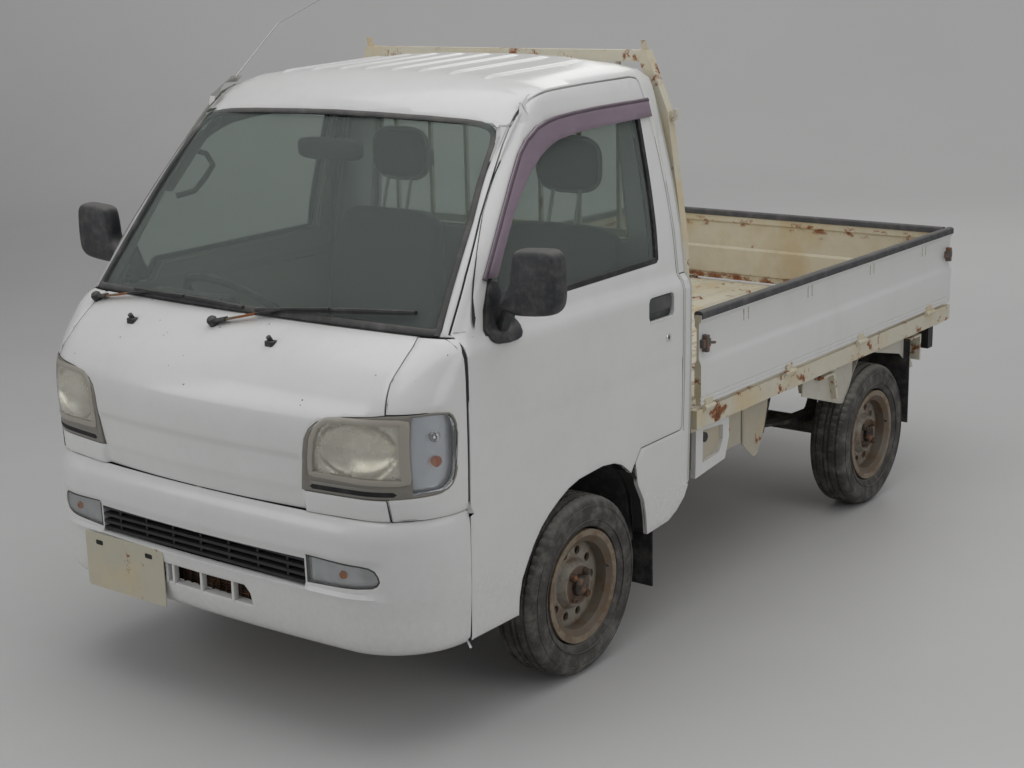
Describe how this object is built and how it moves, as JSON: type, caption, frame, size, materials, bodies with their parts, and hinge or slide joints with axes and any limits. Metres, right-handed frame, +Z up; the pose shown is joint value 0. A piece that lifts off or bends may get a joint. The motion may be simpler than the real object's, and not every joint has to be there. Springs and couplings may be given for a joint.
{
  "type": "kei truck",
  "caption": "Small full-cab drop-side truck with hinged doors, steering front wheels, fold-down bed gates and a guard frame behind the cab",
  "frame": {"origin": "centre of the bounding box at floor level, under the truck's centre plane", "axes": "+X to the truck's left, the front faces -Y, +Z up"},
  "size_m": [1.828, 3.3945, 1.9528],
  "materials": {
    "body_paint": "warm white gloss paint, chipped and dusty",
    "cab_inner_paint": "white paint and grey rubber mat",
    "bumper_paint": "white paint, scuffed at the corner",
    "bed_paint": "yellowed white paint with rust",
    "frame_paint": "dirty cream paint with rust",
    "plate_steel": "bare dirty cream plate",
    "clear_glass": "clear, slightly green",
    "lamp_glass": "yellowed ribbed glass",
    "grey_plastic": "grey grained plastic",
    "black_plastic": "black grained plastic",
    "red_plastic": "red and amber lamp lens",
    "purple_acrylic": "faded purple tint",
    "seat_vinyl": "dark grey woven vinyl",
    "black_rubber": "black rubber",
    "black_steel": "black paint with dirt",
    "rusty_steel": "dull rusty steel",
    "bare_steel": "dull steel",
    "cast_metal": "oily cast metal",
    "wheel_steel": "silver paint, dusty and rusty",
    "tyre_rubber": "grey dusty rubber"
  },
  "bodies": {
    "truck": {"aerial": "bare_steel", "battery_box": "frame_paint", "bed_floor": "bed_paint", "bed_frame": "bed_paint", "bumper_grille": "black_plastic", "cab_floor": "cab_inner_paint", "cab_shell": "body_paint", "chassis_frame": "frame_paint", "clearance_lamps": "lamp_glass", "corner_panels": "body_paint", "dashboard": "grey_plastic", "driveline": "cast_metal", "engine": "cast_metal", "exhaust": "rusty_steel", "floor_controls": "black_plastic", "front_bumper": "bumper_paint", "front_panel": "body_paint", "front_suspension": "black_steel", "fuel_tank": "black_steel", "guard_frame": "bed_paint", "headlamps": "lamp_glass", "left_seat": "seat_vinyl", "mud_flaps": "black_rubber", "plate_bracket": "plate_steel", "rear_axle": "black_steel", "rear_suspension": "black_steel", "rear_wheelhouses": "bed_paint", "rear_window": "clear_glass", "right_seat": "seat_vinyl", "roof_panel": "body_paint", "steering_column": "grey_plastic", "tail_lamps": "red_plastic", "windscreen": "clear_glass", "wipers": "black_steel"},
    "left_door_body": {"left_door": "body_paint", "left_door_glass": "clear_glass", "left_mirror": "black_plastic", "left_visor": "purple_acrylic"},
    "right_door_body": {"right_door": "body_paint", "right_door_glass": "clear_glass", "right_mirror": "black_plastic", "right_visor": "purple_acrylic"},
    "left_gate_body": {"left_gate": "bed_paint"},
    "right_gate_body": {"right_gate": "bed_paint"},
    "tail_gate_body": {"tail_gate": "bed_paint"},
    "steering_wheel_body": {"steering_wheel": "black_plastic"},
    "left_knuckle_body": {"left_knuckle": "black_steel"},
    "right_knuckle_body": {"right_knuckle": "black_steel"},
    "front_left_wheel": {"front_left_rim": "wheel_steel", "front_left_tyre": "tyre_rubber"},
    "front_right_wheel": {"front_right_rim": "wheel_steel", "front_right_tyre": "tyre_rubber"},
    "rear_left_wheel": {"rear_left_rim": "wheel_steel", "rear_left_tyre": "tyre_rubber"},
    "rear_right_wheel": {"rear_right_rim": "wheel_steel", "rear_right_tyre": "tyre_rubber"}
  },
  "joints": [
    {"name": "steering", "type": "hinge", "parent": "truck", "child": "steering_wheel_body", "pos_m": [-0.35, -1.1375, 1.01], "axis": [0, -0.6691, -0.7431], "range_deg": [-595, 595]},
    {"name": "left_steer", "type": "hinge", "parent": "truck", "child": "left_knuckle_body", "pos_m": [0.6, -0.8735, 0.266], "axis": [0, 0, -1], "range_deg": [-35, 35]},
    {"name": "right_steer", "type": "hinge", "parent": "truck", "child": "right_knuckle_body", "pos_m": [-0.6, -0.8735, 0.266], "axis": [0, 0, -1], "range_deg": [-35, 35]},
    {"name": "left_door_hinge", "type": "hinge", "parent": "truck", "child": "left_door_body", "pos_m": [0.731, -1.3855, 0.7], "axis": [0, 0, -1], "range_deg": [0, 65]},
    {"name": "right_door_hinge", "type": "hinge", "parent": "truck", "child": "right_door_body", "pos_m": [-0.731, -1.3855, 0.7], "axis": [0, 0, 1], "range_deg": [0, 65]},
    {"name": "left_gate_hinge", "type": "hinge", "parent": "truck", "child": "left_gate_body", "pos_m": [0.733, 0.7025, 0.655], "axis": [0, 1, 0], "range_deg": [0, 180]},
    {"name": "right_gate_hinge", "type": "hinge", "parent": "truck", "child": "right_gate_body", "pos_m": [-0.733, 0.7025, 0.655], "axis": [0, -1, 0], "range_deg": [0, 180]},
    {"name": "tail_gate_hinge", "type": "hinge", "parent": "truck", "child": "tail_gate_body", "pos_m": [0, 1.6915, 0.655], "axis": [-1, 0, 0], "range_deg": [0, 180]},
    {"name": "front_left_roll", "type": "hinge", "parent": "left_knuckle_body", "child": "front_left_wheel", "pos_m": [0.6525, -0.8735, 0.266], "axis": [1, 0, 0], "continuous": true},
    {"name": "front_right_roll", "type": "hinge", "parent": "right_knuckle_body", "child": "front_right_wheel", "pos_m": [-0.6525, -0.8735, 0.266], "axis": [1, 0, 0], "continuous": true},
    {"name": "rear_left_roll", "type": "hinge", "parent": "truck", "child": "rear_left_wheel", "pos_m": [0.6525, 1.0265, 0.266], "axis": [1, 0, 0], "continuous": true},
    {"name": "rear_right_roll", "type": "hinge", "parent": "truck", "child": "rear_right_wheel", "pos_m": [-0.6525, 1.0265, 0.266], "axis": [1, 0, 0], "continuous": true}
  ],
  "couplings": [
    {"joint": "left_steer", "follows": "steering", "ratio": 0.0588},
    {"joint": "right_steer", "follows": "steering", "ratio": 0.0588}
  ]
}
